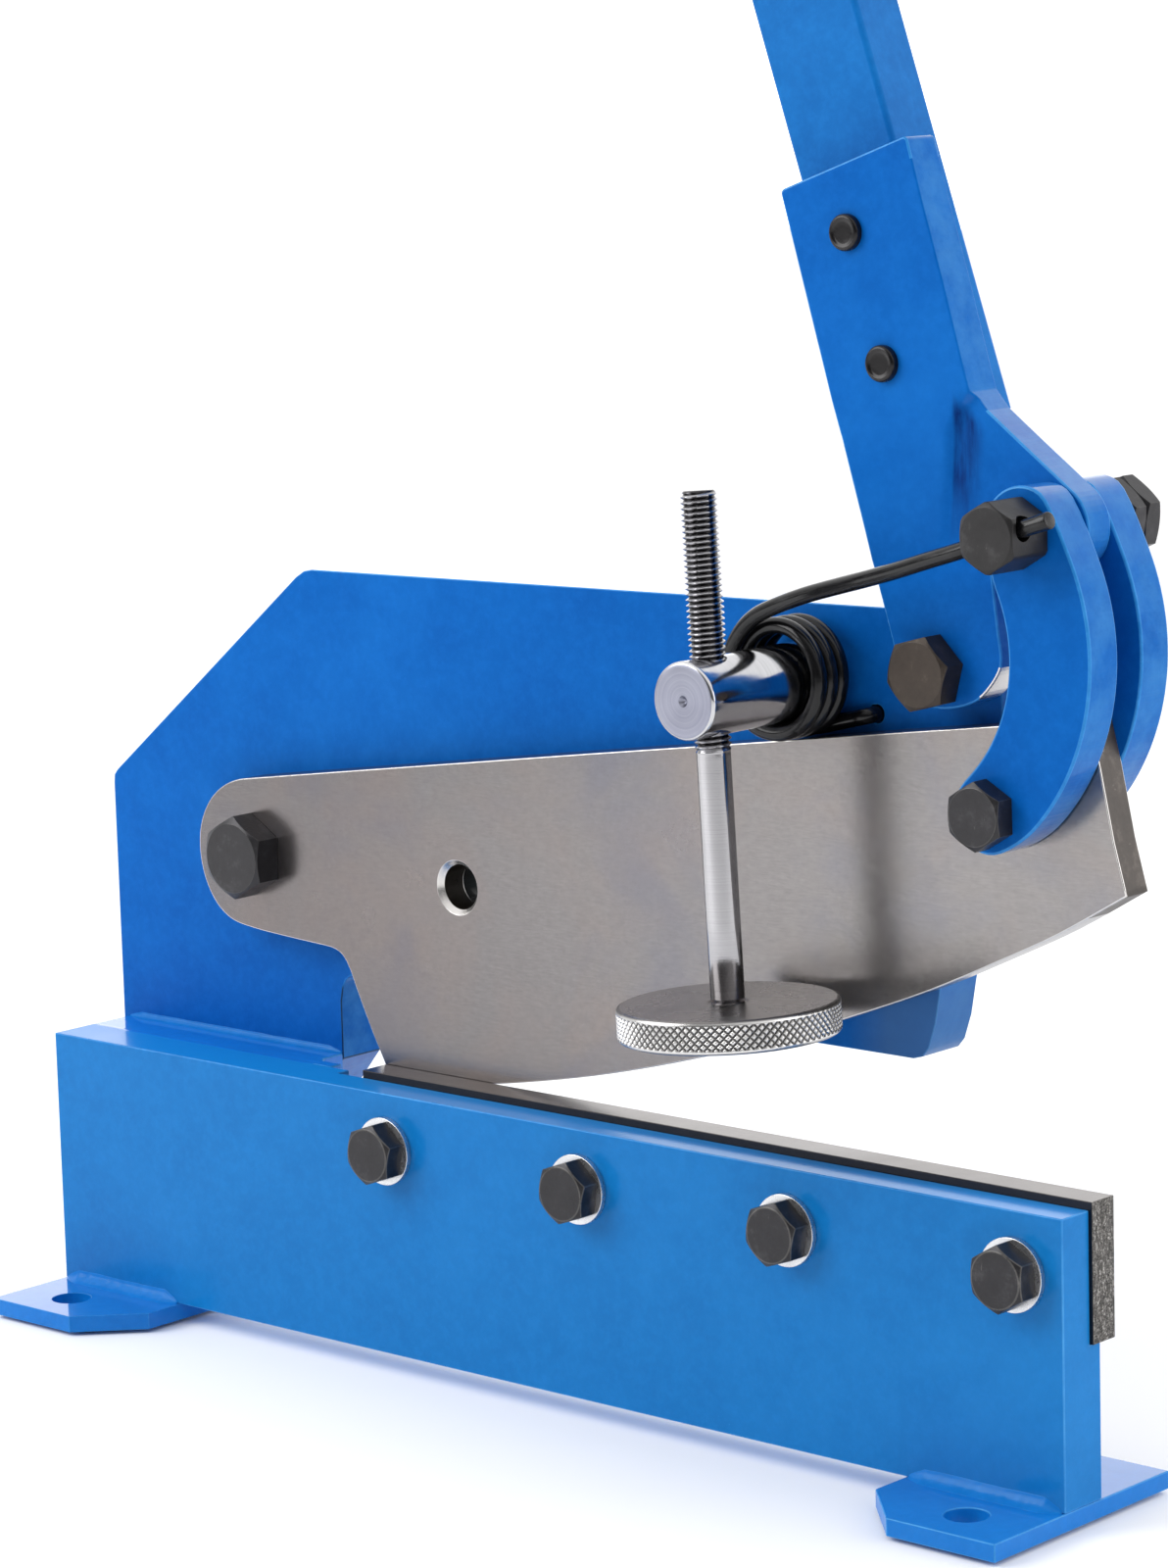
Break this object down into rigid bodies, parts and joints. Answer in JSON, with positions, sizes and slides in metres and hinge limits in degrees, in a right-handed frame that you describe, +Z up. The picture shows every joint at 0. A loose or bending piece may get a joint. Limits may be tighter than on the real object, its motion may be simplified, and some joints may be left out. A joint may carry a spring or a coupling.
{
  "type": "bench lever shear",
  "caption": "Blue bench lever shear with a long handle, swinging upper blade, fixed lower blade, crescent links, return spring and screw hold-down.",
  "frame": {"origin": "centre of the four foot holes, on the surface the feet stand on", "axes": "+X along the cut from the blade pivot to the lever, +Y from front to back, +Z up"},
  "size_m": [0.3931, 0.103, 0.7439],
  "materials": {
    "blue_paint": "semi-gloss",
    "blade_steel": "ground, brushed",
    "blackened_steel": "black oxide",
    "browned_steel": "brownish black oxide",
    "zinc": "bright zinc",
    "bright_plating": "turned and bright plated",
    "black_plastic": "matte"
  },
  "bodies": {
    "frame": {"base_plate": "blue_paint", "foot_left": "blue_paint", "foot_right": "blue_paint", "foot_welds": "blue_paint", "filler_block": "blue_paint", "frame_welds": "blue_paint", "frame_plate": "blue_paint", "fixed_blade": "blade_steel", "base_bolts": "blackened_steel", "base_washers": "zinc", "blade_pivot_bolt": "blackened_steel", "blade_pivot_nut": "blackened_steel", "lever_pivot_bolt": "browned_steel", "lever_pivot_nut": "blackened_steel", "holddown_bar": "bright_plating", "holddown_bar_nut": "zinc"},
    "blade": {"moving_blade": "blade_steel"},
    "lever": {"lever_plate": "blue_paint", "handle_tube": "blue_paint", "handle_plug": "black_plastic", "handle_bolts": "blackened_steel", "handle_nuts": "blackened_steel"},
    "links": {"link_front": "blue_paint", "link_rear": "blue_paint", "link_bolt": "blackened_steel", "link_nut": "blackened_steel"},
    "link_pin": {"spring_bolt": "blackened_steel", "spring_bolt_nuts": "blackened_steel"},
    "spring": {"torsion_spring": "blackened_steel"},
    "holddown": {"holddown_screw": "bright_plating", "holddown_disc": "bright_plating"}
  },
  "joints": [
    {"name": "lever_swing", "type": "hinge", "parent": "frame", "child": "lever", "pos_m": [0.137, 0, 0.217], "axis": [0, 1, 0], "range_deg": [0, 84], "stiffness_Nm_per_rad": 3.5, "springref_deg": -51.57},
    {"name": "blade_swing", "type": "hinge", "parent": "frame", "child": "blade", "pos_m": [-0.1232, 0, 0.1428], "axis": [0, 1, 0], "range_deg": [0, 14.5]},
    {"name": "link_swing", "type": "hinge", "parent": "lever", "child": "links", "pos_m": [0.1755, 0, 0.2565], "axis": [0, -1, 0], "range_deg": [0, 77.5]},
    {"name": "pin_turn", "type": "hinge", "parent": "lever", "child": "link_pin", "pos_m": [0.1755, 0, 0.2565], "axis": [0, -1, 0], "range_deg": [0, 39.5]},
    {"name": "spring_wind", "type": "hinge", "parent": "frame", "child": "spring", "pos_m": [0.089, 0, 0.2122], "axis": [0, 1, 0], "range_deg": [0, 45], "deforming": ["torsion_spring"]},
    {"name": "holddown_feed", "type": "slide", "parent": "frame", "child": "holddown", "axis": [-0.0454, 0, 0.999], "range_m": [-0.033, 0.004]}
  ],
  "couplings": [
    {"joint": "blade_swing", "follows": "lever_swing", "ratio": 0.17143},
    {"joint": "link_swing", "follows": "lever_swing", "ratio": 0.92},
    {"joint": "pin_turn", "follows": "lever_swing", "ratio": 0.466},
    {"joint": "spring_wind", "follows": "lever_swing", "ratio": 0.534}
  ]
}
